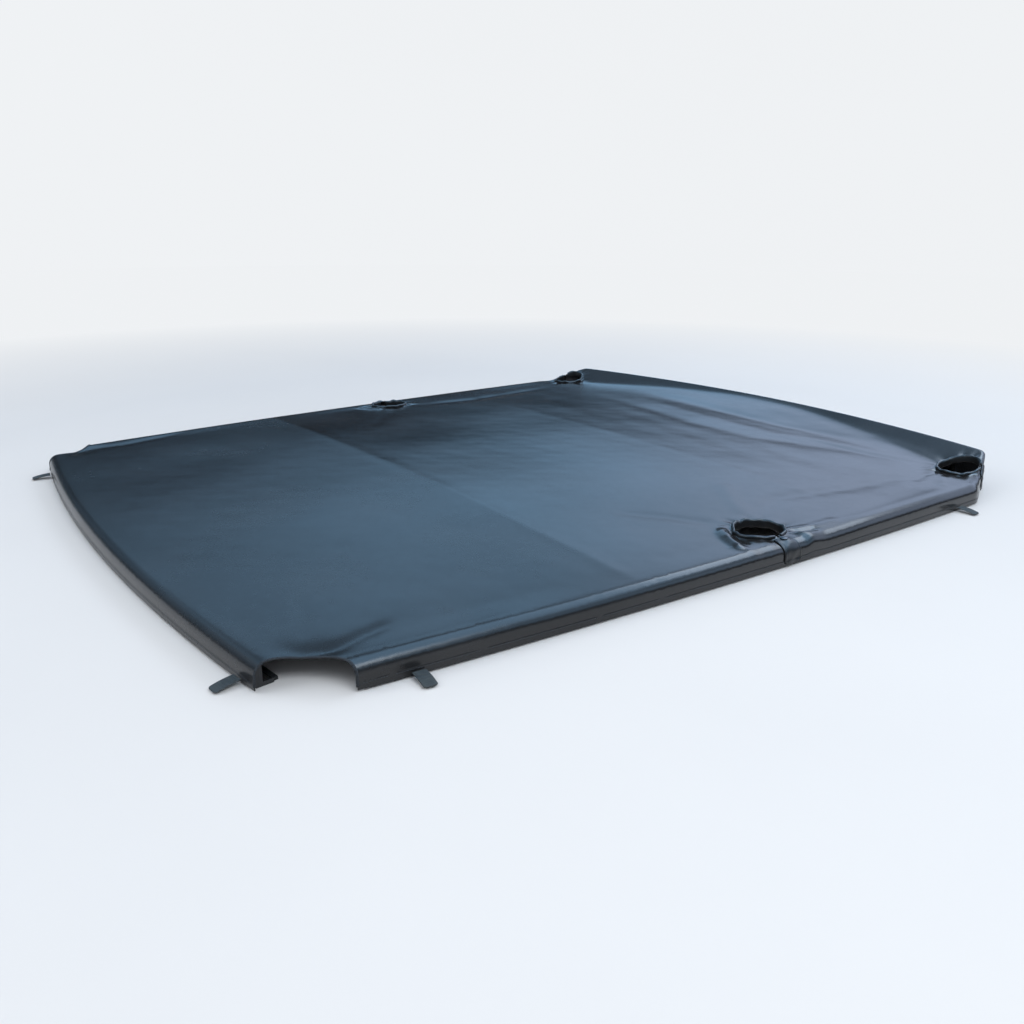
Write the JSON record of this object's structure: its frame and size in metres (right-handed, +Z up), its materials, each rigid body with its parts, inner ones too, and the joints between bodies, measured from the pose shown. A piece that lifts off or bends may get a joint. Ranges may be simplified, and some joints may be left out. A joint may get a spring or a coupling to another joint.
{
  "type": "tonneau cover",
  "caption": "Soft vinyl truck-bed cover on edge rails and spring bows, with openings for a sports bar's legs; its rear half rolls up.",
  "frame": {"origin": "on the cover's centreline, half way along it, at the underside of the rails, midway between the middle pair of side rail holes", "axes": "+Y along the bed towards the cab, +X to the truck's right side as seen looking forward, +Z up"},
  "size_m": [1.6654, 1.9179, 0.085],
  "materials": {
    "vinyl_sheet": "satin coated vinyl with a fine leather grain",
    "vinyl_flap": "satin coated vinyl, creased",
    "collar_vinyl": "satin coated vinyl, doubled and stitched",
    "binding": "woven binding tape",
    "webbing": "woven strap",
    "rail_aluminium": "mill-finished extrusion",
    "bow_steel": "zinc-plated tube",
    "clip_plastic": "matt",
    "black_plastic": "moulded, fine texture",
    "spring_steel": "drawn wire",
    "screw_steel": "zinc-plated",
    "stud_metal": "polished nickel",
    "seal_rubber": "closed-cell foam",
    "bead_cord": "smooth welded cord"
  },
  "bodies": {
    "root": {"side_rail_left": "rail_aluminium", "side_rail_right": "rail_aluminium", "tail_rail": "rail_aluminium", "header_rail": "rail_aluminium", "side_seal_left": "seal_rubber", "side_seal_right": "seal_rubber", "tail_seal": "seal_rubber", "header_seal": "seal_rubber", "rail_end_caps": "black_plastic", "header_end_caps": "black_plastic", "bow_sockets": "black_plastic", "socket_screws": "screw_steel", "rear_bow": "bow_steel", "front_bow": "bow_steel", "bow_end_plugs": "black_plastic", "spring_stops": "black_plastic", "plunger_pins": "screw_steel", "bow_spring_rear": "spring_steel", "bow_spring_front": "spring_steel", "front_skin": "vinyl_sheet", "header_bead": "bead_cord", "front_clip_left": "clip_plastic", "front_clip_right": "clip_plastic", "leg_collar_rear_left": "collar_vinyl", "leg_collar_rear_right": "collar_vinyl", "leg_collar_front_left": "collar_vinyl", "leg_collar_front_right": "collar_vinyl", "flap_studs": "stud_metal"},
    "roll_1": {"rear_skin_1": "vinyl_sheet", "side_clips_1": "clip_plastic"},
    "roll_2": {"rear_skin_2": "vinyl_sheet", "side_clips_2": "clip_plastic"},
    "roll_3": {"rear_skin_3": "vinyl_sheet", "side_clips_3": "clip_plastic"},
    "roll_4": {"rear_skin_4": "vinyl_sheet", "tail_clip": "clip_plastic", "notch_bindings": "binding"},
    "tab_rear_right": {"pull_tab_rear_right": "webbing"},
    "tab_rear_left": {"pull_tab_rear_left": "webbing"},
    "tab_front_right": {"pull_tab_front_right": "webbing"},
    "tab_front_left": {"pull_tab_front_left": "webbing"},
    "tab_tail_right": {"pull_tab_tail_right": "webbing"},
    "tab_tail_left": {"pull_tab_tail_left": "webbing"},
    "flap_rear_right": {"slit_flap_rear_right": "vinyl_flap", "stud_cap_rear_right": "stud_metal"},
    "flap_rear_left": {"slit_flap_rear_left": "vinyl_flap", "stud_cap_rear_left": "stud_metal"},
    "flap_front_right": {"slit_flap_front_right": "vinyl_flap"},
    "flap_front_left": {"slit_flap_front_left": "vinyl_flap"},
    "plunger_rear": {"bow_plunger_rear": "black_plastic"},
    "plunger_front": {"bow_plunger_front": "black_plastic"}
  },
  "joints": [
    {"name": "roll_hinge_1", "type": "hinge", "parent": "root", "child": "roll_1", "pos_m": [0, -0.285, 0.06005], "axis": [-1, 0, 0], "range_deg": [0, 88]},
    {"name": "roll_hinge_2", "type": "hinge", "parent": "roll_1", "child": "roll_2", "pos_m": [0, -0.46, 0.05617], "axis": [-1, 0, 0], "range_deg": [0, 88]},
    {"name": "roll_hinge_3", "type": "hinge", "parent": "roll_2", "child": "roll_3", "pos_m": [0, -0.68, 0.05062], "axis": [-1, 0, 0], "range_deg": [0, 88]},
    {"name": "roll_hinge_4", "type": "hinge", "parent": "roll_3", "child": "roll_4", "pos_m": [0, -0.798, 0.04764], "axis": [-1, 0, 0], "range_deg": [0, 88]},
    {"name": "tab_hinge_rear_right", "type": "hinge", "parent": "roll_3", "child": "tab_rear_right", "pos_m": [0.73719, -0.71425, 0.009], "axis": [-0.0848, -0.9964, 0], "range_deg": [-55, 94], "stiffness_Nm_per_rad": 0.01},
    {"name": "tab_hinge_rear_left", "type": "hinge", "parent": "roll_3", "child": "tab_rear_left", "pos_m": [-0.73719, -0.71425, 0.009], "axis": [-0.0848, 0.9964, 0], "range_deg": [-55, 94], "stiffness_Nm_per_rad": 0.01},
    {"name": "tab_hinge_front_right", "type": "hinge", "parent": "root", "child": "tab_front_right", "pos_m": [0.793, 0.61, 0.009], "axis": [0.0006, -1, 0], "range_deg": [-55, 94], "stiffness_Nm_per_rad": 0.01},
    {"name": "tab_hinge_front_left", "type": "hinge", "parent": "root", "child": "tab_front_left", "pos_m": [-0.793, 0.61, 0.009], "axis": [0.0006, 1, 0], "range_deg": [-55, 94], "stiffness_Nm_per_rad": 0.01},
    {"name": "tab_hinge_tail_right", "type": "hinge", "parent": "roll_4", "child": "tab_tail_right", "pos_m": [0.60837, -0.92187, 0.009], "axis": [-0.9926, -0.1216, 0], "range_deg": [-55, 94], "stiffness_Nm_per_rad": 0.01},
    {"name": "tab_hinge_tail_left", "type": "hinge", "parent": "roll_4", "child": "tab_tail_left", "pos_m": [-0.60837, -0.92187, 0.009], "axis": [-0.9926, 0.1216, 0], "range_deg": [-55, 94], "stiffness_Nm_per_rad": 0.01},
    {"name": "flap_hinge_rear_right", "type": "hinge", "parent": "root", "child": "flap_rear_right", "pos_m": [0.76, 0.0695, 0.04545], "axis": [-1, 0, 0], "range_deg": [0, 150]},
    {"name": "flap_hinge_rear_left", "type": "hinge", "parent": "root", "child": "flap_rear_left", "pos_m": [-0.76, 0.0695, 0.04545], "axis": [-1, 0, 0], "range_deg": [0, 150]},
    {"name": "flap_hinge_front_right", "type": "hinge", "parent": "root", "child": "flap_front_right", "pos_m": [0.74566, 0.80534, 0.07132], "axis": [-0.9088, -0.4173, 0], "range_deg": [0, 150]},
    {"name": "flap_hinge_front_left", "type": "hinge", "parent": "root", "child": "flap_front_left", "pos_m": [-0.74566, 0.80534, 0.07132], "axis": [-0.9088, 0.4173, 0], "range_deg": [0, 150]},
    {"name": "plunger_slide_rear", "type": "slide", "parent": "root", "child": "plunger_rear", "axis": [-0.9978, 0, 0.0657], "range_m": [0, 0.012], "stiffness_N_per_m": 600, "springref_m": -0.006, "deforming": ["bow_spring_rear"]},
    {"name": "plunger_slide_front", "type": "slide", "parent": "root", "child": "plunger_front", "axis": [-0.9977, 0, 0.0679], "range_m": [0, 0.012], "stiffness_N_per_m": 600, "springref_m": -0.006, "deforming": ["bow_spring_front"]}
  ],
  "couplings": [
    {"joint": "roll_hinge_2", "follows": "roll_hinge_1", "ratio": 1},
    {"joint": "roll_hinge_3", "follows": "roll_hinge_1", "ratio": 1},
    {"joint": "roll_hinge_4", "follows": "roll_hinge_1", "ratio": 1}
  ]
}
